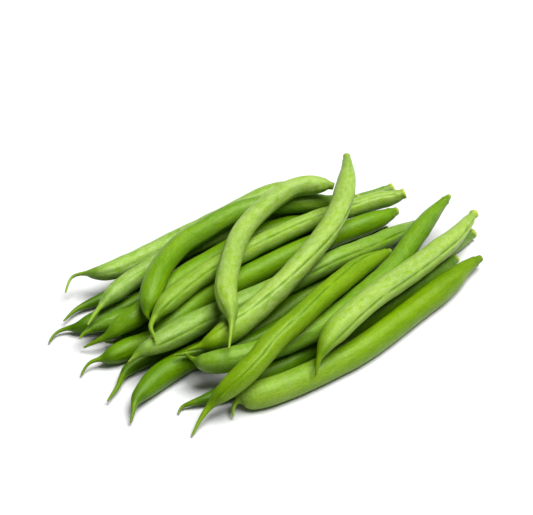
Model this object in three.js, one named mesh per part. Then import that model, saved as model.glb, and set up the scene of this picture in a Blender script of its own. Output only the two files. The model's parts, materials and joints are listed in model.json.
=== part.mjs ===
// A loose pile of fresh green beans lying on a flat surface, in millimetres with +Z up.
// The beaks point to -X and the cut stems to +X. The origin is under the middle of the pile.
import * as THREE from 'three';

// Driving dimensions
const SKIN_GAP = 0.6;         // air between the round sections of two beans
const UNDERSIDE_PRESS = 0.12; // how far a bean on the surface is flattened underneath
const SIDES = 10;             // facets round a pod
const BEAK_TIP_RADIUS = 0.35;
const RIM_LENGTH = 0.45;      // the flared rim of a cut stem
const SEAM_RIDGE = 0.2;       // height of the two seams that run along a pod
const SEAM_SINK = 0.25;       // this share of the ridge is taken off all round
const SEAM_HALF_ANGLE = THREE.MathUtils.degToRad(40);
const SEAM_FADE = [1.5, 3];   // the seams rise between these two radii
const OVAL = 0.02;            // a pod is this share wider at its seams and narrower between them

// Where a bean has rings of vertices, as shares of its beak, shoulder and neck
const BEAK_RINGS = [0.15, 0.55, 1];
const SHOULDER_RINGS = [0.2, 0.45, 0.7];
const POD_RINGS = 9;
const NECK_RINGS = [0.35, 0.65, 0.85];

// How the beans settle against each other
const SAMPLES = 64;           // spheres along each bean
const CURVE_STEPS = 400;      // steps in which the length of a route is measured
const SETTLE_ROUNDS = 90;
const PUSH_SHARE = 0.45;      // each of two touching beans moves this share of the overlap
const PUSH_SPREAD = 3;        // samples on each side that share a push
const STIFFNESS = 0.35;       // how far a shift is evened out along a bean in one round

const GREENS = {
  light: 0x8fc043,
  fresh: 0x7db338,
  deep: 0x689d2c,
};

// Each bean: thickness at the beak's side and the stem's side, length of the beak and radius of
// its root, length of the shoulder and how blunt it is from 0 to 1, length of the neck, then
// length, radius and flare of the cut stub, turn of the seam from the top at the beak and at the
// stem in degrees, and the route of its middle from the tip of the beak to the cut stem.
const BEANS = [
  { name: 'bean_top_long', thick: [9, 7.3], beak: [4, 0.9], shoulder: [13, 0.55],
    neck: 18, stub: [2.5, 1.3, 0.1], seam: [-10, 110], green: 'light', route: [
      [-54, -21, 14], [-46.5, -23, 14.5], [-34.5, -22.5, 15.5], [-13, -19, 19], [0.5, -16, 21.5],
      [13.5, -11.5, 23.5], [26, -5.5, 25.5], [37.5, 2.5, 27.5], [42.5, 7, 28.5], [46, 10.5, 29],
      [49, 14, 29.5], [51.5, 17, 30]] },
  { name: 'bean_top_curved', thick: [7.9, 6.8], beak: [10.5, 0.9], shoulder: [14, 0.55],
    neck: 5.5, stub: [1.5, 1.2, 0.1], seam: [120, 110], green: 'light', route: [
      [-46.5, -33.5, 19], [-41.5, -28.5, 21], [-38, -24.5, 22.5], [-35.5, -20, 23],
      [-30, -11.5, 23.5], [-10, 7, 23.5], [2, 14.5, 23], [15, 19, 23], [27, 20.5, 23],
      [33.5, 18.5, 23], [37, 16, 23], [39.5, 14, 23], [41, 12.5, 22.5]] },
  { name: 'bean_back_curved', thick: [8.2, 7], beak: [3, 0.8], shoulder: [10, 0.8],
    neck: 12, stub: [2, 1.4, 0.3], seam: [115, 120], green: 'fresh', route: [
      [-53.5, 1, 14], [-54, 1.5, 15], [-52, 4, 16.5], [-48, 7.5, 18], [-38.5, 15, 19.5],
      [-33, 18.5, 19.5],
      [-22, 23.5, 19.5], [-8.5, 26.5, 18.5], [5.5, 28.5, 18], [19, 25.5, 17.5], [31, 19, 15.5],
      [40, 15.5, 13], [47, 15, 12]] },
  { name: 'bean_back', thick: [7.2, 6.8], beak: [14, 0.75], shoulder: [10, 0.6],
    neck: 12, stub: [2, 1.6, 0.3], seam: [60, 60], green: 'fresh', route: [
      [-60.5, 42.5, 5.5], [-56.5, 46, 6.5], [-54, 46.5, 7.5], [-52, 45, 8.5], [-50.5, 42, 9.5],
      [-48.5, 39.5, 10], [-43.5, 37.5, 10], [-28, 37, 10], [-13.5, 37.5, 10], [2, 38, 10],
      [17.5, 38.5, 10.5], [27.5, 39, 10.5], [38, 37.5, 10.5], [46, 31.5, 10.5]] },
  { name: 'bean_back_floor', thick: [6.3, 6.3], beak: [6, 0.9], shoulder: [10, 0.5],
    neck: 12, stub: [2, 1.6, 0.3], seam: [30, 30], green: 'deep', route: [
      [-38, 37.5, 1.5], [-33, 39.5, 2.5], [-24, 40.5, 2.5], [0, 40.5, 2.5], [25, 40.5, 2.5],
      [38, 38.5, 2.5], [48, 35.5, 2.5]] },
  { name: 'bean_left_upper', thick: [7.2, 6.8], beak: [10.5, 1.1], shoulder: [12, 0.5],
    neck: 12, stub: [1.5, 1.5, 0.35], seam: [30, 30], green: 'fresh', route: [
      [-68.5, 17, 10], [-61.5, 21, 10.5], [-50, 25.5, 10.5], [-28.5, 29.5, 10.5],
      [-0.5, 30.5, 10], [27, 25.5, 10], [45, 17.5, 9], [57.5, 15.5, 7.5]] },
  { name: 'bean_left_tail', thick: [6.4, 6.4], beak: [7.5, 0.8], shoulder: [22, 0.35],
    neck: 12, stub: [2, 1.7, 0.3], seam: [70, 70], green: 'deep', route: [
      [-68.5, 32.5, 2.5], [-61, 35, 2.5], [-49.5, 34, 2.5], [-27.5, 33, 2.5], [0.5, 31.5, 2.5],
      [28.5, 29.5, 2.5], [40.5, 29, 2.5], [52.5, 26.5, 2.5]] },
  { name: 'bean_left_low', thick: [6.8, 6.5], beak: [10.5, 0.8], shoulder: [9, 0.5],
    neck: 12, stub: [2, 1.7, 0.3], seam: [65, 60], green: 'deep', route: [
      [-78.5, 27, 1], [-76, 28.5, 1.5], [-73, 29, 2], [-70, 28, 2.5], [-67.5, 25.5, 3],
      [-65, 24, 3.5], [-60, 23.5, 3.5], [-38, 22.5, 4], [-10.5, 18.5, 5], [3.5, 16.5, 5],
      [17.5, 16, 4.5], [36.5, 15, 3]] },
  { name: 'bean_left_mid', thick: [6.5, 6.3], beak: [6, 0.9], shoulder: [10, 0.55],
    neck: 12, stub: [2, 1.7, 0.3], seam: [45, 45], green: 'deep', route: [
      [-73, 16.5, 6.5], [-69.5, 18.5, 6], [-61, 19, 5.5], [-44, 16, 5], [-18.5, 13, 6],
      [-4.5, 11, 7], [9.5, 9.5, 7.5], [21, 10, 6.5], [32.5, 9.5, 4]] },
  { name: 'bean_left_front_upper', thick: [7.7, 6.8], beak: [9.5, 1.3], shoulder: [10, 0.65],
    neck: 12, stub: [2, 1.6, 0.3], seam: [85, 75], green: 'fresh', route: [
      [-71.5, 16, 2], [-69, 14, 4], [-66, 12, 5.5], [-63, 11, 7], [-58.5, 11, 8.5],
      [-52.5, 10, 10], [-44, 12, 11], [-32.5, 15, 12], [-18.5, 16.5, 12], [9.5, 19.5, 11],
      [35, 17, 9.5], [50, 15, 8.5]] },
  { name: 'bean_under_left', thick: [6.1, 6.1], beak: [5, 0.7], shoulder: [10, 0.5],
    neck: 12, stub: [2, 1.7, 0.3], seam: [20, 20], green: 'deep', route: [
      [-64, 14, 2], [-61, 11.5, 2], [-52, 11, 2.5], [-35, 8.5, 2.5], [-9.5, 5.5, 2.5],
      [18.5, 4, 2.5], [44.5, 1.5, 2.5], [57.5, -0.5, 2.5]] },
  { name: 'bean_left_front', thick: [7.6, 6.6], beak: [10, 0.85], shoulder: [8, 0.8],
    neck: 12, stub: [2, 1.7, 0.3], seam: [70, 60], green: 'fresh', route: [
      [-80.5, 5, 1], [-78.5, 6, 2], [-76, 6.5, 3], [-73.5, 6, 3.5], [-70, 4.5, 3.5],
      [-64, 3.5, 3.5], [-42, 1, 3.5], [-14, -1, 3], [14, -2.5, 2.5], [26, -2.5, 2.5],
      [34, -6, 2.5]] },
  { name: 'bean_mid_back', thick: [7.2, 6.9], beak: [11.5, 1.1], shoulder: [10, 0.6],
    neck: 9, stub: [1, 1.7, 0.35], seam: [48, 30], green: 'light', route: [
      [-60.5, -11.5, 15], [-59, -8.5, 15.5], [-58, -5.5, 16.5], [-55.5, -3.5, 17],
      [-50.5, -1.5, 18], [-45.5, 0, 18.5], [-36, 2.5, 18.5], [-24.5, 5.5, 18], [-10.5, 8, 16.5],
      [3, 10, 15], [17, 11, 13.5], [31, 11.5, 13], [43, 9.5, 12.5], [52.5, 7.5, 12.5], [58, 5, 13],
      [62, 2.5, 13.5], [66.5, 0, 15]] },
  { name: 'bean_mid', thick: [8, 7.6], beak: [7, 1], shoulder: [12, 0.55],
    neck: 13, stub: [0.9, 1.4, 0.1], seam: [-30, -20], green: 'fresh', route: [
      [-61.5, -3.5, 8.5], [-53.5, -2.5, 10], [-41.5, -0.5, 11], [-20, 2.5, 11], [8, 3, 10.5],
      [36, 1.5, 10], [50.5, 0, 10], [62, 0, 10]] },
  { name: 'bean_mid_front', thick: [9.3, 6.4], beak: [3, 0.8], shoulder: [17, 0.6],
    neck: 20, stub: [0.9, 1, 0], seam: [60, 50], green: 'fresh', route: [
      [-70, -8.5, 10.5], [-65, -8.5, 12], [-58.5, -9, 12.5], [-50, -9.5, 13],
      [-40, -9.5, 13], [-28.5, -10, 12.5], [-15, -11.5, 13], [-1, -13.5, 14],
      [12.5, -15, 14.5], [26.5, -15, 13.5], [38.5, -13.5, 11.5], [59, -8.5, 6.5],
      [69.5, -4.5, 3]] },
  { name: 'bean_low_left', thick: [6, 6], beak: [13.5, 1.25], shoulder: [12, 0.35],
    neck: 12, stub: [2, 1.7, 0.3], seam: [60, 60], green: 'deep', route: [
      [-82, -12.5, 2], [-74.5, -8.5, 2.5], [-70, -5, 2.5], [-63.5, -3, 2.5], [-54.5, -3.5, 2.5],
      [-42.5, -6, 2.5], [-28.5, -8, 2.5], [-0.5, -9, 2.5], [25.5, -10, 2.5], [35, -10, 2.5]] },
  { name: 'bean_low_front', thick: [8.6, 7.4], beak: [7, 1], shoulder: [17, 0.5],
    neck: 12, stub: [2, 1.7, 0.3], seam: [-40, -40], green: 'fresh', route: [
      [-82.5, -26, 1.5], [-80, -24, 3], [-78, -22, 4], [-75.5, -20, 4], [-72, -18.5, 4],
      [-66, -16.5, 4], [-59, -15, 4], [-46, -14.5, 4], [-33, -15.5, 3.5], [-19, -17, 3.5], [-5, -16.5, 6],
      [9, -15.5, 7], [28.5, -12.5, 7.5]] },
  { name: 'bean_front_mid', thick: [8.6, 7.2], beak: [5, 0.9], shoulder: [9, 0.8],
    neck: 20, stub: [0.9, 0.9, 0], seam: [30, 20], green: 'fresh', route: [
      [-53.5, -18.5, 11.5], [-53.5, -21, 11.5], [-53, -24, 11.5], [-51, -27, 11.5],
      [-48, -29, 11.5], [-42, -31.5, 11.5], [-32, -34.5, 11.5], [-20, -36.5, 11.5],
      [-6, -37, 11], [7.5, -34, 11], [21, -31, 11], [34.5, -27, 11], [45.5, -22.5, 11.5],
      [68, -13.5, 12.5], [79.5, -10.5, 14]] },
  { name: 'bean_under_mid', thick: [5.8, 5.8], beak: [5, 0.7], shoulder: [12, 0.5],
    neck: 12, stub: [2, 1.7, 0.3], seam: [0, 0], green: 'deep', route: [
      [-56.5, -16.5, 11], [-49, -18.5, 9.5], [-44.5, -21, 9], [-38, -23, 8], [-28, -24, 7],
      [-16, -24, 6.5], [12, -21.5, 6], [38.5, -13.5, 4.5], [55.5, -8, 2]] },
  { name: 'bean_front_diagonal', thick: [8.2, 7.6], beak: [12.5, 1.25], shoulder: [13, 0.6],
    neck: 24, stub: [1.2, 1.1, 0], seam: [50, -5], green: 'light', route: [
      [-70.5, -43.5, 1], [-65.5, -41.5, 3.5], [-62, -40.5, 5], [-58, -40.5, 7.5],
      [-53.5, -41.5, 10.5], [-43.5, -42, 15], [-32.5, -39.5, 18], [-18.5, -37, 19.5],
      [-5.5, -33, 19.5], [8, -28.5, 17.5], [21, -24, 15], [32, -21, 12.5], [41.5, -18.5, 10]] },
  { name: 'bean_front_upper', thick: [9, 8.3], beak: [6, 0.85], shoulder: [16, 0.45],
    neck: 30, stub: [1, 1.5, 0.35], seam: [68, 58], green: 'light', route: [
      [-25.5, -53.5, 8.5], [-23.5, -52, 11.5], [-20, -50, 13.5], [-14.5, -47.5, 15],
      [-7.5, -45, 15.5], [1, -43, 16],
      [12.5, -40, 15.5], [26, -37.5, 14.5], [40, -34.5, 13], [53, -31, 11.5], [66.5, -27, 10],
      [83, -20.5, 9.5]] },
  { name: 'bean_front_low', thick: [7, 7.2], beak: [6, 0.8], shoulder: [20, 0.35],
    neck: 14, stub: [1.5, 1.5, 0.2], seam: [100, 100], green: 'deep', route: [
      [-67, -32, 1], [-66, -31, 1], [-64.5, -30.5, 1.5], [-62, -31.5, 2], [-55, -34, 2.5],
      [-38, -36.5, 2.5],
      [-12, -37.5, 2.5], [16, -36.5, 2.5], [42, -34, 2.5], [64.5, -30, 2.5]] },
  { name: 'bean_under_front', thick: [6.8, 6.8], beak: [6, 0.9], shoulder: [12, 0.5],
    neck: 12, stub: [1.5, 1.7, 0.3], seam: [30, 30], green: 'deep', route: [
      [-37, -27, 2.5], [-29, -29, 2.5], [-17, -30, 4.5], [4.5, -28.5, 2.5], [32.5, -26, 2.5],
      [60.5, -24.5, 2.5], [81, -22.5, 2.5]] },
  { name: 'bean_front', thick: [9.4, 9], beak: [6.5, 0.95], shoulder: [7.5, 0.9],
    neck: 26, stub: [0.9, 1.2, 0.1], seam: [-45, -45], green: 'light', route: [
      [-54.5, -45, 1.5], [-52.5, -42.5, 2.5], [-50, -41.5, 3.5], [-47.5, -42, 4],
      [-45, -43.5, 4], [-39, -45.5, 4], [-29.5, -47.5, 4], [-17.5, -48.5, 4], [-3.5, -49, 4],
      [10.5, -47.5, 4], [24.5, -45, 4], [50, -40, 4], [62, -37.5, 4],
      [70, -37, 4]] },
  { name: 'bean_back_hidden', thick: [6.6, 6.6], beak: [6, 0.9], shoulder: [12, 0.5],
    neck: 12, stub: [1.5, 1.75, 0.3], seam: [0, 0], green: 'deep', route: [
      [-33, 30, 1], [-26, 27.5, 2.5], [-14, 26, 5], [7.5, 23.5, 5.5], [35.5, 22.5, 2.5],
      [63.5, 20, 2.5], [76.5, 17, 5]] },
];

const UP = new THREE.Vector3(0, 0, 1);
const { clamp, lerp, smoothstep, degToRad } = THREE.MathUtils;

// Radius of a pod at a distance from the tip of its beak.
function podRadius(bean, distance, length) {
  const [beak, root] = bean.beak;
  const [shoulder, bluntness] = bean.shoulder;
  const [stub, stalk] = bean.stub;
  if (distance < beak) {
    return lerp(BEAK_TIP_RADIUS, root, distance / beak);
  }
  const pod = lerp(bean.thick[0], bean.thick[1], clamp(distance / length, 0, 1)) / 2;
  const rise = clamp((distance - beak) / shoulder, 0, 1);
  const radius = lerp(root, pod, lerp(smoothstep(rise, 0, 1), quarterEllipse(rise), bluntness));
  const drop = clamp((length - stub - distance) / bean.neck, 0, 1);
  return lerp(stalk, radius, (quarterEllipse(drop) + smoothstep(drop, 0, 1)) / 2);
}

// A blunt rise from 0 to 1.
function quarterEllipse(share) {
  return Math.sqrt(share * (2 - share));
}

// A bean as a row of spheres, evenly spaced along its route.
function sampleBean(bean) {
  const points = bean.route.map((point) => new THREE.Vector3(...point));
  const curve = new THREE.CatmullRomCurve3(points, false, 'centripetal');
  curve.arcLengthDivisions = CURVE_STEPS;
  const length = curve.getLength();
  const middle = curve.getSpacedPoints(SAMPLES - 1);
  const radii = middle.map((_, i) => podRadius(bean, (length * i) / (SAMPLES - 1), length));
  const start = middle.map((point) => point.clone());
  const shift = middle.map(() => new THREE.Vector3());
  return { bean, length, middle, radii, start, shift };
}

// Pushes that keep two beans apart, added to each bean's list of moves.
function pushApart(first, second, firstMoves, secondMoves) {
  const apart = new THREE.Vector3();
  for (let i = 0; i < SAMPLES; i += 1) {
    for (let j = 0; j < SAMPLES; j += 1) {
      apart.subVectors(first.middle[i], second.middle[j]);
      const reach = first.radii[i] + second.radii[j] + SKIN_GAP;
      const distance = apart.length();
      if (distance < reach) {
        apart.multiplyScalar((PUSH_SHARE * (reach - distance)) / distance);
        keepLargest(firstMoves[i], apart);
        keepLargest(secondMoves[j], apart.negate());
      }
    }
  }
}

function keepLargest(move, push) {
  if (push.lengthSq() > move.lengthSq()) {
    move.copy(push);
  }
}

// Shifts a bean by the mean of the pushes near each sample, evens the shift out along the bean
// so that it stays a smooth curve, and keeps it above the surface.
function applyMoves(sampled, moves) {
  const { start, shift } = sampled;
  const mean = new THREE.Vector3();
  shift.forEach((own, i) => {
    const low = Math.max(0, i - PUSH_SPREAD);
    const high = Math.min(SAMPLES - 1, i + PUSH_SPREAD);
    mean.set(0, 0, 0);
    for (let k = low; k <= high; k += 1) {
      mean.add(moves[k]);
    }
    own.addScaledVector(mean, 1 / (high - low + 1));
  });
  const before = shift.map((own) => own.clone());
  sampled.middle.forEach((point, i) => {
    const next = before[Math.min(i + 1, SAMPLES - 1)];
    mean.addVectors(before[Math.max(i - 1, 0)], next).multiplyScalar(0.5);
    shift[i].lerp(mean, STIFFNESS);
    point.addVectors(start[i], shift[i]);
    point.z = Math.max(point.z, restHeight(sampled.radii[i]));
  });
}

function settle(pile) {
  for (let round = 0; round < SETTLE_ROUNDS; round += 1) {
    const moves = pile.map((sampled) => sampled.middle.map(() => new THREE.Vector3()));
    for (let a = 0; a < pile.length; a += 1) {
      for (let b = a + 1; b < pile.length; b += 1) {
        pushApart(pile[a], pile[b], moves[a], moves[b]);
      }
    }
    pile.forEach((sampled, i) => applyMoves(sampled, moves[i]));
  }
}

// Distances from the tip of the beak at which a bean has a ring of vertices.
function ringStations(bean, length) {
  const [beak] = bean.beak;
  const [shoulder] = bean.shoulder;
  const [stub] = bean.stub;
  const neckStart = length - stub - bean.neck;
  const stations = BEAK_RINGS.map((share) => beak * share);
  stations.push(...SHOULDER_RINGS.map((share) => beak + shoulder * share));
  for (let i = 0; i <= POD_RINGS; i += 1) {
    stations.push(lerp(beak + shoulder, neckStart, i / POD_RINGS));
  }
  stations.push(...NECK_RINGS.map((share) => neckStart + bean.neck * share));
  stations.push(length - Math.max(stub, 2 * RIM_LENGTH), length - RIM_LENGTH, length);
  return stations;
}

// Height of the seams at a place where the pod has this radius.
function ridgeHeight(radius) {
  return SEAM_RIDGE * smoothstep(radius, ...SEAM_FADE);
}

// Radius in one direction round a pod, with its two seams and its slightly flat sides.
function sectionRadius(radius, turn) {
  const toSeam = Math.acos(Math.abs(Math.cos(turn)));
  const bump = smoothstep(1 - toSeam / SEAM_HALF_ANGLE, 0, 1);
  return radius * (1 + OVAL * Math.cos(2 * turn)) + ridgeHeight(radius) * (bump - SEAM_SINK);
}

// Height of a bean's middle where it lies on the surface, pressed flat along one facet.
function restHeight(radius) {
  const side = radius * (1 - OVAL) - ridgeHeight(radius) * SEAM_SINK;
  const rest = side * Math.cos(Math.PI / SIDES) - UNDERSIDE_PRESS;
  return Math.max(rest, BEAK_TIP_RADIUS);
}

// One bean as a closed skin: a point at the beak, rings along the pod and a flat cut at the stem.
function beanGeometry(sampled) {
  const { bean, length, radii } = sampled;
  const curve = new THREE.CatmullRomCurve3(sampled.middle, false, 'centripetal');
  const stations = ringStations(bean, length);
  const positions = [...sampled.middle[0].toArray()];
  const side = new THREE.Vector3();
  const above = new THREE.Vector3();
  const vertex = new THREE.Vector3();
  const lastStation = stations.length - 1;
  stations.forEach((distance, ring) => {
    const share = clamp(distance / length, 0, 1);
    const centre = curve.getPoint(share);
    const along = curve.getTangent(share);
    side.crossVectors(along, UP).normalize();
    above.crossVectors(side, along);
    const place = share * (SAMPLES - 1);
    const before = Math.min(Math.floor(place), SAMPLES - 2);
    const flare = ring >= lastStation - 1 ? bean.stub[2] : 0;
    const radius = lerp(radii[before], radii[before + 1], place - before) + flare;
    const seam = degToRad(lerp(bean.seam[0], bean.seam[1], share));
    for (let k = 0; k < SIDES; k += 1) {
      // half a step of turn puts a flat facet, not an edge, underneath
      const angle = ((k + 0.5) / SIDES) * Math.PI * 2;
      const reach = sectionRadius(radius, angle - seam);
      vertex.copy(centre);
      vertex.addScaledVector(above, Math.cos(angle) * reach);
      vertex.addScaledVector(side, Math.sin(angle) * reach);
      vertex.z = Math.max(vertex.z, 0);
      positions.push(...vertex.toArray());
    }
  });
  positions.push(...sampled.middle[SAMPLES - 1].toArray());
  return skin(positions, stations.length);
}

// Joins the rings and the two end points with triangles that face out.
function skin(positions, ringCount) {
  const index = [];
  const last = 1 + ringCount * SIDES;
  const at = (ring, k) => 1 + ring * SIDES + (k % SIDES);
  for (let k = 0; k < SIDES; k += 1) {
    index.push(0, at(0, k + 1), at(0, k));
    for (let ring = 0; ring < ringCount - 1; ring += 1) {
      index.push(at(ring, k), at(ring, k + 1), at(ring + 1, k + 1));
      index.push(at(ring, k), at(ring + 1, k + 1), at(ring + 1, k));
    }
    index.push(last, at(ringCount - 1, k), at(ringCount - 1, k + 1));
  }
  const geometry = new THREE.BufferGeometry();
  geometry.setAttribute('position', new THREE.Float32BufferAttribute(positions, 3));
  geometry.setIndex(index);
  geometry.computeVertexNormals();
  return geometry;
}

function buildPile() {
  const pile = BEANS.map(sampleBean);
  settle(pile);
  const group = new THREE.Group();
  group.name = 'green_bean_bundle';
  for (const sampled of pile) {
    const { name, green } = sampled.bean;
    const material = new THREE.MeshStandardMaterial({ color: GREENS[green], roughness: 0.5 });
    const mesh = new THREE.Mesh(beanGeometry(sampled), material);
    mesh.name = name;
    group.add(mesh);
  }
  const box = new THREE.Box3().setFromObject(group);
  const centre = box.getCenter(new THREE.Vector3());
  group.position.set(-centre.x, -centre.y, -box.min.z);
  return group;
}

export default buildPile();
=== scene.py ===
"""Green bean bundle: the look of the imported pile, in metres, in the frame of the solids."""
import json
import math

import bpy
import numpy as np
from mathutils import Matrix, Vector


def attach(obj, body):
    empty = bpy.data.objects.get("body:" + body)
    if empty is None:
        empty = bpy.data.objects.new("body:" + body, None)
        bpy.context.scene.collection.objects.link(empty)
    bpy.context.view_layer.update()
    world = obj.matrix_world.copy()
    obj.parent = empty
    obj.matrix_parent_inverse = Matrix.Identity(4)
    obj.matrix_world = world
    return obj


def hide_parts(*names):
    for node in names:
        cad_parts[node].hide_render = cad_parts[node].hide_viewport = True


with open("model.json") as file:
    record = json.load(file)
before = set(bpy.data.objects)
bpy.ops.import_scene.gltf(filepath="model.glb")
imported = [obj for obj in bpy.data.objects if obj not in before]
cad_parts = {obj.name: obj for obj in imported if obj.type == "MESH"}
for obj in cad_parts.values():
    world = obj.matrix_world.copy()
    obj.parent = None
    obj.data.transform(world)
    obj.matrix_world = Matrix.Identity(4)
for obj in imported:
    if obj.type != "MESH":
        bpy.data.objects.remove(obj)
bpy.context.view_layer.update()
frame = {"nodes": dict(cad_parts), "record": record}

MM = 0.001

# Camera, matched to the photograph
PHOTO_WIDTH = 533
VIEW_AZIMUTH = math.radians(-40.0)
VIEW_ELEVATION = math.radians(37.0)
VIEW_DISTANCE = 640 * MM
FOCAL_PIXELS = 1805.0
SENSOR = 36.0
# the camera stands back from this point of the pile, and looks a little above it
VIEWED_POINT = Vector((-11.4, -6.4, 8.0)) * MM
AIM_ABOVE = 15.1 * MM
AIM_RIGHT = 0.5 * MM
NEAREST_SEEN = 10 * MM

# Light: a wide soft key from above and from the viewer's right, and an even fill
KEY_DIRECTION = (0.27, -0.18, 0.945)
KEY_SPREAD = math.radians(46)
KEY_STRENGTH = 5.7
FILL_STRENGTH = 0.15
FLOOR_REACH = 3.0
FLOOR_COLOURS = ((0.62, 0.62, 0.62), (0.63, 0.63, 0.63))
FLOOR_PATTERN = 3.0         # repeats in a metre
FLOOR_ROUGHNESS = 0.7
FLOOR_SPECULAR = 0.2
WHITE = (1.0, 1.0, 1.0, 1.0)

# Fine skin of a bean
RANDOM_START = 100          # each bean draws from its own random row, numbered from here
SAME_PLACE = 4              # vertices that agree to this many digits of a millimetre are one corner
SKIN_STEP = 0.75 * MM
FIRST_SECTION = 0.02 * MM   # from the beak's point on the solid
SKIN_SIDES = 48
SEAM_CROWDING = 0.7         # share by which the columns of faces crowd together at the seams
ON_FLOOR = 0.05 * MM        # vertices lower than this are pressed flat
FLOOR_GAP = 0.02 * MM       # the skin stays this far over the floor
SEAM_SEEN = 3 * MM          # rings lower than this are too slim to tell where the seams are
OVAL = 0.025                # a pod is this share taller along its seams than round
LIP_HEIGHT = 0.1 * MM
LIP_PLACE = 1.1 * MM        # from the middle of the groove
LIP_WIDTH = 0.6 * MM
GROOVE_DEPTH = 0.2 * MM
GROOVE_WIDTH = 0.45 * MM
SEAM_SHADE_WIDTH = 0.4 * MM       # the painted shade line in the groove
SEAM_WAVES = (4, 7, 11, 17)             # counts of ripples in a seam's depth, along a bean
SEAM_MEAN = 0.85                        # mean depth, as a share of the bean's own
SEAM_RIPPLE = 0.16                      # what each of the ripples adds or takes away
SEAM_LIMITS = (0.3, 1.3)                # least and greatest share
SEAM_RADII = (1.4 * MM, 2.8 * MM)       # a seam rises between these two radii
SEAM_STARTS = (6 * MM, 16 * MM)         # and between these two places from the beak
SEED_PITCH = 10.5 * MM
SEED_PITCHES = (0.8, 1.25)              # least and greatest share of the pitch
SEED_LENGTH = 3.4 * MM
SEED_HEIGHT = 0.2 * MM
SEED_HEIGHTS = (0.35, 1.25)             # least and greatest share of the height
FIRST_SEED = 17 * MM                    # from the beak's point
SEED_SCATTER = 4 * MM                   # the first seed is up to this much further on
SEEDLESS_END = 20 * MM                  # before the cut
UNEVENNESS = 0.012                      # share of the radius
SKIN_WAVES = (3.0, 5.0, 8.0, 13.0)      # counts of waves along a bean
WAVE_FALL = 3                           # waves of this count have half of the full unevenness
RIPPLE = 0.4                            # half the swing of heights round the pod, as a share of the top
COLLAR_KNOBS = 5                        # high places round the collar of the stub
COLLAR_HEIGHT = 0.3 * MM
COLLAR_WIDTH = 0.7 * MM
STUB_LENGTH = 3.2 * MM
CUT_HOLLOW = 0.35 * MM
CUT_RINGS = 4
TIP_POINT = 0.3 * MM        # the point of the beak stands this far before its first ring
TIP_SHARE = 0.75            # width at the point, as a share of the first ring's
TIP_RADIUS = 0.28 * MM
UP = np.array([0.0, 0.0, 1.0])

# Where the special colours lie: between two radii, or between two places from the tip or the cut
BEAK_RADII = (0.9 * MM, 1.6 * MM)
THROAT_RADII = (2.0 * MM, 3.4 * MM)
NECK_RADII = (1.8 * MM, 3.3 * MM)
TIP_PLACES = (0.4 * MM, 0.9 * MM)
RIM_PLACES = (1.5 * MM, 0.3 * MM)
SLIM_BEAK = 0.8             # how much of the beak's mark its slim part has
NECK_SHADE = 0.5            # how much of the throat's mark the neck has
BRIGHT_RIM = 0.9
DULL_RIM = 0.3
PATTERN_SHIFT = 17          # moves the patterns of each bean by its length times this

# Colours of the three slots: light and deep patches
SKIN_COLOURS = {
    "pod_light": ((0.215, 0.361, 0.0115), (0.123, 0.259, 0.0033)),
    "pod_fresh": ((0.160, 0.312, 0.005), (0.088, 0.217, 0.0016)),
    "pod_deep": ((0.117, 0.252, 0.0035), (0.060, 0.170, 0.0008)),
}
BRIGHTER = 1.25             # the streaks are this times the light colour
BRIGHT_LIFT = 0.01          # and this much is added to them
DARKER = 0.55               # the grain, the pores and the slim ends are this times the deep colour
# Colours of the small places that all the beans share
# Pale flecks on the paler beans: partly frosty skin, partly painted sheen
BLOOM_AND_SHEEN_COLOUR = (0.41, 0.49, 0.24)
SPECK_COLOUR = (0.43, 0.52, 0.21)
# Painted shade: the dark line in the seam grooves
SEAM_SHADE_COLOUR = (0.062, 0.156, 0.0016)
BEAK_COLOUR = (0.144, 0.238, 0.0066)
TIP_COLOUR = (0.35, 0.34, 0.06)
RIM_COLOUR = (0.34, 0.43, 0.025)
PITH_COLOUR = (0.385, 0.45, 0.10)

# Patterns of the skin: repeats in a millimetre along the bean and across it, detail, roughness
PATTERNS = {
    "broad": ((0.05, 0.22, 0.22), 2.0, 0.55),
    "streaks": ((0.25, 1.3, 1.3), 4.0, 0.55),
    "grain": ((0.8, 2.0, 2.0), 4.0, 0.55),
    "flecks": ((0.35, 0.7, 0.7), 2.0, 0.55),
    "pores": ((1.8, 3.2, 3.2), 2.0, 0.55),
    "fine": ((0.7, 3.6, 3.6), 5.0, 0.6),
}
PLAIN_DETAIL = 3.0              # of the patterns that aren't in the table
PLAIN_ROUGHNESS = 0.55
SPECK_SHAPE = (0.8, 1.0, 1.0)   # the specks are a bit longer along the bean
SPECK_SCALE = 0.5
PITH_SCALE = 1.4
# What each pattern or mark gives: two of its values, and what comes out at each
RAMPS = {
    "broad": (0.30, 0.70, 0.15, 0.85),
    "streaks": (0.46, 0.70, 0.0, 0.3),
    "grain": (0.48, 0.72, 0.0, 0.35),
    "flecks": (0.10, 0.70, 0.0, 1.0),
    # pale flecks, partly frosty skin and partly painted sheen
    "bloom_and_sheen": (0.3, 1.0, 0.0, 0.42),
    "pores": (0.35, 0.65, 0.25, 0.0),
    "specks": (0.05, 0.14, 0.35, 0.0),
    "ends": (0.0, 1.0, 0.0, 0.5),
    # painted shade line in the seam grooves
    "groove": (0.0, 0.9, 0.0, 0.75),
    "beak": (0.0, 0.8, 0.0, 0.5),
    "tip": (0.85, 1.0, 0.0, 0.8),
    "pith": (0.35, 0.7, 0.0, 1.0),
    "value": (0.0, 1.0, 0.69, 1.10),
    "hue": (0.0, 1.0, 0.502, 0.497),
    "roughness": (0.3, 0.75, 0.34, 0.48),
    "floor": (0.3, 0.7, 0.0, 1.0),
}
SATURATION = 1.04
SPECULAR = 0.31
SPECULAR_TINT = (0.78, 1.0, 0.42, 1.0)
SUBSURFACE = 0.08
SUBSURFACE_RADIUS = (0.6, 1.0, 0.15)
SUBSURFACE_DEPTH = 1.2 * MM
FINE_BUMP = 0.7             # share of the fine pattern in the bumps; the flecks come on top
BUMP_STRENGTH = 0.65
BUMP_HEIGHT = 0.2 * MM
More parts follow.
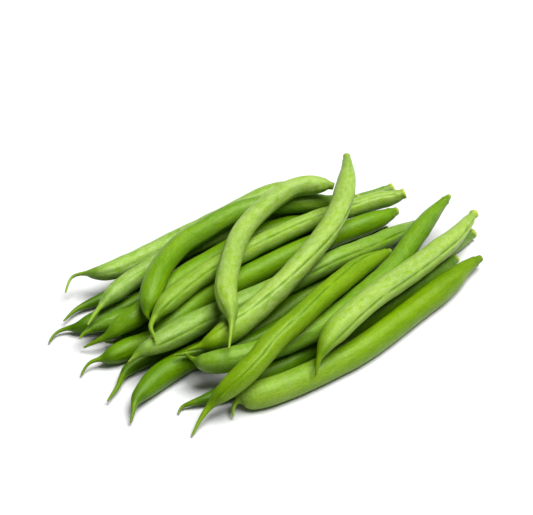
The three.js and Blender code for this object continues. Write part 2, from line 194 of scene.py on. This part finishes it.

# How pale each bean is, from deep green at 0 to pale at 1, with more pale flecks of partly painted
# sheen, at even places between its beak and its stem
PALENESS = {
    # the deep green at its beak end is partly its own colour, partly painted shade from the
    # neighbouring bean's beak
    "bean_top_long": (0.2, 1.0, 1.0, 1.0, 1.0),
    "bean_top_curved": (0.8, 1.0),
    "bean_back_curved": (0.45, 0.65),
    "bean_back": (1.0, 0.85),
    "bean_back_floor": (0.3, 0.3),
    "bean_left_upper": (1.0, 0.6),
    "bean_left_tail": (0.3, 0.3),
    "bean_left_low": (0.3, 0.3),
    "bean_left_mid": (0.5, 0.4),
    "bean_left_front_upper": (0.5, 0.4),
    "bean_under_left": (0.2, 0.2),
    "bean_left_front": (0.3, 0.3),
    "bean_mid_back": (0.6, 0.75, 0.9),
    "bean_mid": (0.5, 0.45),
    "bean_mid_front": (0.85, 0.6),
    "bean_low_left": (0.4, 0.3),
    "bean_low_front": (0.25, 0.2),
    "bean_front_mid": (0.6, 0.5),
    "bean_under_mid": (0.3, 0.3),
    "bean_front_diagonal": (0.45, 0.45),
    "bean_front_upper": (0.3, 0.9, 1.0, 1.0, 1.0),
    "bean_front_low": (0.25, 0.3, 0.6),
    "bean_under_front": (0.2, 0.2, 0.8),
    "bean_front": (0.7, 0.45, 0.1),
    "bean_back_hidden": (0.4, 0.8),
}
# How deep the seams of single beans are, as a share of the full lips and groove, and how dark the
# painted shade line in the groove is
SEAMS = {
    "bean_top_long": 1.0,
    "bean_top_curved": 0.6,
    "bean_back_curved": 0.6,
    "bean_mid_back": 0.7,
    "bean_mid_front": 0.8,
    "bean_front_diagonal": 0.8,
    "bean_front_upper": 1.1,
    "bean_front": 0.15,
    "bean_low_front": 0.1,
    "bean_mid": 0.1,
}
# and those of all the others
FAINT_SEAM = 0.35
# The stems that end without a bright rim
RIMLESS = ("bean_top_long", "bean_top_curved", "bean_front")


def smooth(value, low, high):
    """0 below low, 1 above high, and an even rise between them."""
    share = np.clip((value - low) / (high - low), 0.0, 1.0)
    return share * share * (3.0 - 2.0 * share)


def through(keys, values, at):
    """A smooth curve through the values at their keys, read at other places."""
    keys = np.asarray(keys)
    values = np.asarray(values)
    if values.ndim == 1:
        return through(keys, values[:, None], at)[:, 0]
    slopes = np.gradient(values, keys, axis=0)
    cell = np.clip(np.searchsorted(keys, at, side="right") - 1, 0, len(keys) - 2)
    width = (keys[cell + 1] - keys[cell])[:, None]
    t = (np.asarray(at)[:, None] - keys[cell][:, None]) / width
    start_weight = 2 * t**3 - 3 * t**2 + 1
    start_slope = (t**3 - 2 * t**2 + t) * width
    end_slope = (t**3 - t**2) * width
    return (
        values[cell] * start_weight
        + slopes[cell] * start_slope
        + values[cell + 1] * (1 - start_weight)
        + slopes[cell + 1] * end_slope
    )


def rings_of(node):
    """The solid's rings of vertices from the beak to the stem, with the point at each end."""
    mesh = frame["nodes"][node].data
    # Vertices at the same place are one corner
    corner = {}
    places = []
    index = []
    for vertex in mesh.vertices:
        key = tuple(round(c / MM, SAME_PLACE) for c in vertex.co)
        if key not in corner:
            corner[key] = len(places)
            places.append(np.array(vertex.co))
        index.append(corner[key])
    near = [set() for _ in places]
    for face in mesh.polygons:
        ids = [index[v] for v in face.vertices]
        for a in ids:
            near[a].update(b for b in ids if b != a)
    # All the sides meet at the two points, and the beak's has the smaller ring round it
    sides = max(len(n) for n in near)
    ends = [i for i, n in enumerate(near) if len(n) == sides]
    size = {}
    for end in ends:
        rim = np.array([places[i] for i in near[end]])
        size[end] = np.linalg.norm(rim - rim.mean(axis=0), axis=1).mean()
    tip = min(ends, key=size.get)
    # From the beak's point on, the corners next to a ring are the next ring
    reached = {tip}
    front = [tip]
    layers = [[tip]]
    while front:
        ahead = []
        for here in front:
            for there in sorted(near[here]):
                if there not in reached:
                    reached.add(there)
                    ahead.append(there)
        if ahead:
            layers.append(ahead)
        front = ahead
    return [np.array([places[i] for i in ids]) for ids in layers]


def frames_along(points):
    """Directions along, beside and above a row of points."""
    along = np.gradient(points, axis=0)
    along /= np.linalg.norm(along, axis=1, keepdims=True)
    beside = np.cross(along, UP)
    beside /= np.linalg.norm(beside, axis=1, keepdims=True)
    above = np.cross(beside, along)
    return along, beside, above


def ring_frame(ring, onward):
    """Directions along, beside and above a bean in the plane of one of its rings."""
    arms = ring - ring.mean(axis=0)
    along = np.linalg.svd(arms)[2][-1]
    along = along * np.sign(along @ onward)
    beside = np.cross(along, UP)
    beside /= np.linalg.norm(beside)
    return along, beside, np.cross(beside, along)


def seam_pull(ring, onward):
    """Size and double turn of the seams on one ring, as a complex number."""
    _, side, top = ring_frame(ring, onward)
    free = ring[:, 2] > ON_FLOOR
    arms = ring - ring.mean(axis=0)
    x = arms @ top
    y = arms @ side
    turn = np.arctan2(y, x)
    waves = [np.ones(len(turn)), np.cos(turn), np.sin(turn), np.cos(2 * turn), np.sin(2 * turn)]
    fit = np.linalg.lstsq(np.array(waves).T[free], np.hypot(x, y)[free], rcond=None)[0]
    return complex(fit[3], fit[4])


def seam_line(rings, onward, shares):
    """Turn of the seams from the top at the beak, and its change from there to the stem."""
    pull = np.array([seam_pull(ring, way) for ring, way in zip(rings, onward)])
    pull[[ring[:, 2].max() - ring[:, 2].min() < SEAM_SEEN for ring in rings]] = 0
    middle = np.angle(pull.sum()) / 2
    apart = np.angle(pull * np.exp(-2j * middle)) / 2
    weight = np.abs(pull)
    terms = np.array([weight, weight * shares]).T
    start, change = np.linalg.lstsq(terms, weight * apart, rcond=None)[0]
    return middle + start, change


def read_bean(node):
    """Middle line, radius and seam of a bean, at fine steps from the beak to the cut."""
    layers = rings_of(node)
    rings = layers[1:-1]
    centres = np.array([ring.mean(axis=0) for ring in rings])
    radii = [np.linalg.norm(r - c, axis=1).mean() for r, c in zip(rings, centres)]
    points = np.vstack([layers[0], centres])
    steps = np.linalg.norm(np.diff(points, axis=0), axis=1)
    keys = np.concatenate([[0.0], np.cumsum(steps)])
    length = keys[-1]
    at = np.linspace(FIRST_SECTION, length, int(length / SKIN_STEP))
    middle = through(keys, points, at)
    radius = through(keys, np.concatenate([[radii[0] * TIP_SHARE], radii]), at)
    start, change = seam_line(rings, np.gradient(centres, axis=0), keys[1:] / length)
    return at, middle, np.maximum(radius, TIP_RADIUS), start + change * at / length, length


def column_turns():
    """Turns of the columns of faces round a pod, closer together at the two seams."""
    even = np.arange(SKIN_SIDES) / SKIN_SIDES * 2 * math.pi
    return even - SEAM_CROWDING / 2 * np.sin(2 * even)


def seam_strength(at, length, radius, strength, rng):
    """How deep the seams are along a pod: uneven, and gone at the ends."""
    waves = np.zeros(len(at))
    for count in SEAM_WAVES:
        waves += np.sin(count * 2 * math.pi * at / length + rng.uniform(0, 2 * math.pi))
    ends = smooth(radius, *SEAM_RADII) * smooth(at, *SEAM_STARTS)
    return strength * ends * np.clip(SEAM_MEAN + SEAM_RIPPLE * waves, *SEAM_LIMITS)


def ripple(turns, lean, count=1):
    """Shares of up to 1 that rise and fall round the pod."""
    return 1 - RIPPLE + RIPPLE * np.sin(count * turns + lean)


def skin_relief(at, length, radius, turns, seams, rng):
    """Height of the skin over the round section: seams, seeds, unevenness and collar."""
    from_seam = np.abs(np.angle(np.exp(2j * turns))) / 2
    arc = radius[:, None] * from_seam[None, :]
    lips = LIP_HEIGHT * np.exp(-(((arc - LIP_PLACE) / LIP_WIDTH) ** 2))
    groove = GROOVE_DEPTH * np.exp(-((arc / GROOVE_WIDTH) ** 2))
    relief = (lips - groove) * seams[:, None]
    flank = np.sin(turns)[None, :] ** 2
    place = FIRST_SEED + rng.uniform(0, SEED_SCATTER)
    while place < length - SEEDLESS_END:
        height = SEED_HEIGHT * rng.uniform(*SEED_HEIGHTS)
        swell = height * np.exp(-(((at - place) / SEED_LENGTH) ** 2))
        relief = relief + swell[:, None] * flank
        place += SEED_PITCH * rng.uniform(*SEED_PITCHES)
    for waves in SKIN_WAVES:
        start, lean, _ = rng.uniform(0, 2 * math.pi, 3)
        wave = np.sin(waves * 2 * math.pi * at / length + start)[:, None] * ripple(turns, lean)[None, :]
        relief = relief + UNEVENNESS * radius[:, None] * wave * WAVE_FALL / (waves + WAVE_FALL)
    collar = np.exp(-(((at - (length - STUB_LENGTH)) / COLLAR_WIDTH) ** 2))
    knobs = ripple(turns, rng.uniform(0, 6), COLLAR_KNOBS)
    return relief + COLLAR_HEIGHT * collar[:, None] * knobs[None, :]


def build_bean(node, slot, pale, strength, rng):
    """A fine skin in the place of one solid."""
    at, middle, radius, seam, length = read_bean(node)
    along, beside, above = frames_along(middle)
    turns = column_turns()
    reach = radius[:, None] * (1 + OVAL * np.cos(2 * turns))[None, :]
    seams = seam_strength(at, length, radius, strength, rng)
    reach = reach + skin_relief(at, length, radius, turns, seams, rng)
    angle = seam[:, None] + turns[None, :]
    skin = (
        middle[:, None, :]
        + above[:, None, :] * (np.cos(angle) * reach)[:, :, None]
        + beside[:, None, :] * (np.sin(angle) * reach)[:, :, None]
    )
    rim = skin[-1]
    heart = rim.mean(axis=0)
    cut = []
    for ring in range(1, CUT_RINGS + 1):
        inward = ring / (CUT_RINGS + 1)
        hollow = along[-1] * CUT_HOLLOW * math.sin(inward * math.pi / 2)
        cut.append(rim + (heart - rim) * inward - hollow)
    skin = np.concatenate([skin, np.array(cut)])
    skin[:, :, 2] = np.maximum(skin[:, :, 2], FLOOR_GAP)
    rows = len(skin)
    tip = middle[0] - along[0] * TIP_POINT
    bottom = heart - along[-1] * CUT_HOLLOW
    points = np.vstack([skin.reshape(-1, 3), tip, bottom])
    points[:, 2] = np.maximum(points[:, 2], FLOOR_GAP)
    faces = skin_faces(rows)
    mesh = bpy.data.meshes.new(node + "_skin")
    mesh.from_pydata(points.tolist(), [], faces)
    mesh.polygons.foreach_set("use_smooth", [True] * len(mesh.polygons))
    add_marks(mesh, at, length, radius, turns, seams, pale, rows, node in RIMLESS)
    mesh.update()
    piece = bpy.data.objects.new(node + "_skin", mesh)
    bpy.context.scene.collection.objects.link(piece)
    piece.data.materials.append(MATERIALS[slot])
    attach(piece, "root")
    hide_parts(node)


def skin_faces(rows):
    """Quads between the rings, and a fan at each end."""
    faces = []
    for row in range(rows - 1):
        for k in range(SKIN_SIDES):
            after = (k + 1) % SKIN_SIDES
            here = row * SKIN_SIDES
            there = here + SKIN_SIDES
            faces.append((here + k, here + after, there + after, there + k))
    tip = rows * SKIN_SIDES
    last = (rows - 1) * SKIN_SIDES
    for k in range(SKIN_SIDES):
        after = (k + 1) % SKIN_SIDES
        faces.append((tip, after, k))
        faces.append((tip + 1, last + k, last + after))
    return faces


def add_marks(mesh, at, length, radius, turns, seams, pale, rows, rimless):
    """Attributes for the material: place on the pod in mm, and where the special colours are."""
    seen = np.concatenate([at, np.full(rows - len(at), length)])
    width = np.concatenate([radius, np.full(rows - len(at), radius[-1])])
    beak_half = seen < length / 2
    slim = (1 - smooth(width, *BEAK_RADII)) * beak_half
    tip = 1 - smooth(seen, *TIP_PLACES)
    beak = np.maximum(slim * SLIM_BEAK, tip)
    rim_start, rim_end = (length - before for before in RIM_PLACES)
    rim = smooth(seen, rim_start, rim_end) * (DULL_RIM if rimless else BRIGHT_RIM)
    cut = np.where(np.arange(rows) >= len(at), 1.0, rim)
    throat = smooth(width, *BEAK_RADII) * (1 - smooth(width, *THROAT_RADII)) * beak_half
    neck = (1 - smooth(width, *NECK_RADII)) * ~beak_half
    from_seam = np.abs(np.angle(np.exp(2j * turns))) / 2
    arc = width[:, None] * from_seam[None, :]
    depth = np.concatenate([seams, np.zeros(rows - len(at))])
    # Painted shade: a dark line along the middle of each seam, as strong as the groove is deep
    groove = np.exp(-((arc / SEAM_SHADE_WIDTH) ** 2)) * depth[:, None]

    def over(row_values):
        return np.repeat(row_values[:, None], SKIN_SIDES, axis=1)

    # Channels: the beak, the cut, the painted shade in the seams, and the darker throat and neck
    marks = np.stack([over(beak), over(cut), groove, over(throat + neck * NECK_SHADE)], axis=2)
    ends = np.array([[1, 0, 0, 0], [0, 1, 0, 0]], dtype=float)
    marks = np.vstack([marks.reshape(-1, 4), ends])
    layer = mesh.color_attributes.new("marks", "FLOAT_COLOR", "POINT")
    layer.data.foreach_set("color", marks.ravel())
    offset = length / MM * PATTERN_SHIFT
    place = np.stack([
        over(seen) / MM + offset,
        np.cos(turns)[None, :] * over(width) / MM,
        np.sin(turns)[None, :] * over(width) / MM + offset,
    ], axis=2).reshape(-1, 3)
    place = np.vstack([place, place[0], place[-1]])
    where = mesh.attributes.new("pod_place", "FLOAT_VECTOR", "POINT")
    where.data.foreach_set("vector", place.ravel())
    shade = mesh.attributes.new("paleness", "FLOAT", "POINT")
    paleness = np.interp(over(seen).ravel() / length, np.linspace(0, 1, len(pale)), pale)
    shade.data.foreach_set("value", np.append(paleness, (pale[0], pale[-1])))


class Nodes:
    """Short hand for a material's node tree."""

    def __init__(self, name):
        self.material = bpy.data.materials.new(name)
        self.material.use_nodes = True
        self.tree = self.material.node_tree
        self.shader = self.tree.nodes["Principled BSDF"]

    def add(self, kind, **settings):
        """A new node with its settings."""
        node = self.tree.nodes.new(kind)
        for key, value in settings.items():
            setattr(node, key, value)
        return node

    def join(self, source, target):
        """A link from an output to an input."""
        self.tree.links.new(source, target)

    def attribute(self, name, output):
        """One output of an attribute of the mesh."""
        return self.add("ShaderNodeAttribute", attribute_name=name).outputs[output]

    def scaled(self, vector, scale):
        """A vector times a scale on each axis."""
        node = self.add("ShaderNodeVectorMath", operation="MULTIPLY")
        node.inputs[1].default_value = scale
        self.join(vector, node.inputs[0])
        return node.outputs[0]

    def noise(self, vector, scale, detail=PLAIN_DETAIL, roughness=PLAIN_ROUGHNESS):
        """A soft random pattern."""
        node = self.add("ShaderNodeTexNoise")
        node.inputs["Scale"].default_value = scale
        node.inputs["Detail"].default_value = detail
        node.inputs["Roughness"].default_value = roughness
        self.join(vector, node.inputs["Vector"])
        return node.outputs["Fac"]

    def ramp(self, value, name):
        """A soft rise or fall between two values, as the table of ramps says."""
        low, high, low_out, high_out = RAMPS[name]
        node = self.add("ShaderNodeMapRange", clamp=True, interpolation_type="SMOOTHSTEP")
        node.inputs["From Min"].default_value = low
        node.inputs["From Max"].default_value = high
        node.inputs["To Min"].default_value = low_out
        node.inputs["To Max"].default_value = high_out
        self.join(value, node.inputs["Value"])
        return node.outputs["Result"]

    def mix(self, share, first, second):
        """A mix of two colours, each a constant or another node's output."""
        node = self.add("ShaderNodeMix", data_type="RGBA")
        # The colour sockets of this node are the seventh and the eighth
        sockets = (node.inputs[0], node.inputs[6], node.inputs[7])
        for socket, value in zip(sockets, (share, first, second)):
            if isinstance(value, (float, int)):
                socket.default_value = value
            elif isinstance(value, tuple):
                socket.default_value = (*value, 1.0)
            else:
                self.join(value, socket)
        return node.outputs[2]

    def math(self, operation, first, second):
        """One operation on two values."""
        node = self.add("ShaderNodeMath", operation=operation)
        for socket, value in zip(node.inputs, (first, second)):
            if isinstance(value, (float, int)):
                socket.default_value = value
            else:
                self.join(value, socket)
        return node.outputs[0]


def pod_material(name, light, deep):
    """Waxy green skin with lengthwise mottling, pale specks, pale flecks of partly painted sheen,
    painted shade lines in the seams and bright rims.
    """
    m = Nodes(name)
    place = m.attribute("pod_place", "Vector")
    marks = m.add("ShaderNodeAttribute", attribute_name="marks")
    parts = m.add("ShaderNodeSeparateColor")
    m.join(marks.outputs["Color"], parts.inputs[0])
    # the third channel is the painted shade in the seams
    beak, cut, groove = parts.outputs[0], parts.outputs[1], parts.outputs[2]
    ends = marks.outputs["Alpha"]
    pale = m.attribute("paleness", "Fac")
    bright = tuple(min(1.0, c * BRIGHTER + BRIGHT_LIFT) for c in light)
    dark = tuple(c * DARKER for c in deep)
    pattern = {
        name: m.noise(m.scaled(place, scales), 1.0, detail, roughness)
        for name, (scales, detail, roughness) in PATTERNS.items()
    }

    colour = m.mix(m.ramp(pattern["broad"], "broad"), deep, light)
    colour = m.mix(m.ramp(pattern["streaks"], "streaks"), colour, bright)
    colour = m.mix(m.ramp(pattern["grain"], "grain"), colour, dark)
    # Pale flecks on the paler beans: partly frosty skin, partly painted sheen
    bloom_and_sheen = m.math("MULTIPLY", m.ramp(pattern["flecks"], "flecks"), m.ramp(pale, "bloom_and_sheen"))
    colour = m.mix(bloom_and_sheen, colour, BLOOM_AND_SHEEN_COLOUR)
    colour = m.mix(m.ramp(pattern["pores"], "pores"), colour, dark)
    specks = m.add("ShaderNodeTexVoronoi", feature="F1")
    specks.inputs["Scale"].default_value = SPECK_SCALE
    m.join(m.scaled(place, SPECK_SHAPE), specks.inputs["Vector"])
    colour = m.mix(m.ramp(specks.outputs["Distance"], "specks"), colour, SPECK_COLOUR)
    colour = m.mix(m.ramp(ends, "ends"), colour, dark)
    # Painted shade in the seam grooves
    colour = m.mix(m.ramp(groove, "groove"), colour, SEAM_SHADE_COLOUR)
    colour = m.mix(m.ramp(beak, "beak"), colour, BEAK_COLOUR)
    colour = m.mix(m.ramp(beak, "tip"), colour, TIP_COLOUR)
    pith = m.ramp(m.noise(place, PITH_SCALE), "pith")
    colour = m.mix(cut, colour, m.mix(pith, RIM_COLOUR, PITH_COLOUR))
    # Deeper beans and places come out darker; at the beak end of bean_top_long this is partly painted
    # shade
    shade = m.add("ShaderNodeHueSaturation")
    m.join(m.ramp(pale, "value"), shade.inputs["Value"])
    m.join(m.ramp(pale, "hue"), shade.inputs["Hue"])
    shade.inputs["Saturation"].default_value = SATURATION
    m.join(colour, shade.inputs["Color"])
    m.join(shade.outputs[0], m.shader.inputs["Base Color"])

    m.join(m.ramp(pattern["streaks"], "roughness"), m.shader.inputs["Roughness"])
    m.shader.inputs["Specular IOR Level"].default_value = SPECULAR
    m.shader.inputs["Specular Tint"].default_value = SPECULAR_TINT
    m.shader.inputs["Subsurface Weight"].default_value = SUBSURFACE
    m.shader.inputs["Subsurface Radius"].default_value = SUBSURFACE_RADIUS
    m.shader.inputs["Subsurface Scale"].default_value = SUBSURFACE_DEPTH
    height = m.math("ADD", m.math("MULTIPLY", pattern["fine"], FINE_BUMP), pattern["flecks"])
    bump = m.add("ShaderNodeBump")
    bump.inputs["Strength"].default_value = BUMP_STRENGTH
    bump.inputs["Distance"].default_value = BUMP_HEIGHT
    m.join(height, bump.inputs["Height"])
    m.join(bump.outputs[0], m.shader.inputs["Normal"])
    return m.material


def floor_material():
    """A plain matte white."""
    m = Nodes("floor_white")
    texture = m.add("ShaderNodeTexCoord")
    faint = m.noise(texture.outputs["Object"], FLOOR_PATTERN)
    white = m.mix(m.ramp(faint, "floor"), *FLOOR_COLOURS)
    m.join(white, m.shader.inputs["Base Color"])
    m.shader.inputs["Roughness"].default_value = FLOOR_ROUGHNESS
    m.shader.inputs["Specular IOR Level"].default_value = FLOOR_SPECULAR
    return m.material


def make_camera():
    """The photograph's camera."""
    level = math.cos(VIEW_ELEVATION)
    back = Vector((
        math.sin(VIEW_AZIMUTH) * level,
        -math.cos(VIEW_AZIMUTH) * level,
        math.sin(VIEW_ELEVATION),
    ))
    right = Vector((math.cos(VIEW_AZIMUTH), math.sin(VIEW_AZIMUTH), 0.0))
    above = back.cross(right)
    data = bpy.data.cameras.new("camera")
    data.sensor_width = SENSOR
    data.lens = FOCAL_PIXELS * SENSOR / PHOTO_WIDTH
    data.clip_start = NEAREST_SEEN
    camera = bpy.data.objects.new("camera", data)
    bpy.context.scene.collection.objects.link(camera)
    camera.location = VIEWED_POINT + back * VIEW_DISTANCE
    aim = VIEWED_POINT + above * AIM_ABOVE + right * AIM_RIGHT
    camera.rotation_euler = (camera.location - aim).to_track_quat("Z", "Y").to_euler()
    bpy.context.scene.camera = camera


def make_sun(name, direction, spread, strength):
    """A wide soft sun that shines from a direction, with the same strength all over the floor."""
    data = bpy.data.lights.new(name, "SUN")
    data.angle = spread
    data.energy = strength
    light = bpy.data.objects.new(name, data)
    bpy.context.scene.collection.objects.link(light)
    light.rotation_euler = Vector(direction).to_track_quat("Z", "Y").to_euler()


def make_stage():
    """A pale floor, an even fill, a white wall that only the camera sees, and the key light."""
    mesh = bpy.data.meshes.new("floor")
    corners = [(-1, -1), (1, -1), (1, 1), (-1, 1)]
    mesh.from_pydata([(x * FLOOR_REACH, y * FLOOR_REACH, 0) for x, y in corners], [], [(0, 1, 2, 3)])
    floor = bpy.data.objects.new("floor", mesh)
    bpy.context.scene.collection.objects.link(floor)
    floor.data.materials.append(floor_material())
    world = bpy.data.worlds.new("studio")
    world.use_nodes = True
    tree = world.node_tree
    fill = tree.nodes["Background"]
    fill.inputs["Color"].default_value = WHITE
    fill.inputs["Strength"].default_value = FILL_STRENGTH
    wall = tree.nodes.new("ShaderNodeBackground")
    wall.inputs["Color"].default_value = WHITE
    seen = tree.nodes.new("ShaderNodeLightPath")
    choice = tree.nodes.new("ShaderNodeMixShader")
    tree.links.new(seen.outputs["Is Camera Ray"], choice.inputs[0])
    tree.links.new(fill.outputs[0], choice.inputs[1])
    tree.links.new(wall.outputs[0], choice.inputs[2])
    tree.links.new(choice.outputs[0], tree.nodes["World Output"].inputs["Surface"])
    bpy.context.scene.world = world
    make_sun("overhead", KEY_DIRECTION, KEY_SPREAD, KEY_STRENGTH)
    bpy.context.scene.view_settings.view_transform = "Standard"


make_camera()
make_stage()
MATERIALS = {slot: pod_material(slot + "_skin", *colours) for slot, colours in SKIN_COLOURS.items()}

slot_of = {part["node"]: part["material_slot"] for part in frame["record"]["subparts"]}
for number, node in enumerate(sorted(slot_of)):
    rng = np.random.RandomState(RANDOM_START + number)
    build_bean(node, slot_of[node], PALENESS[node], SEAMS.get(node, FAINT_SEAM), rng)
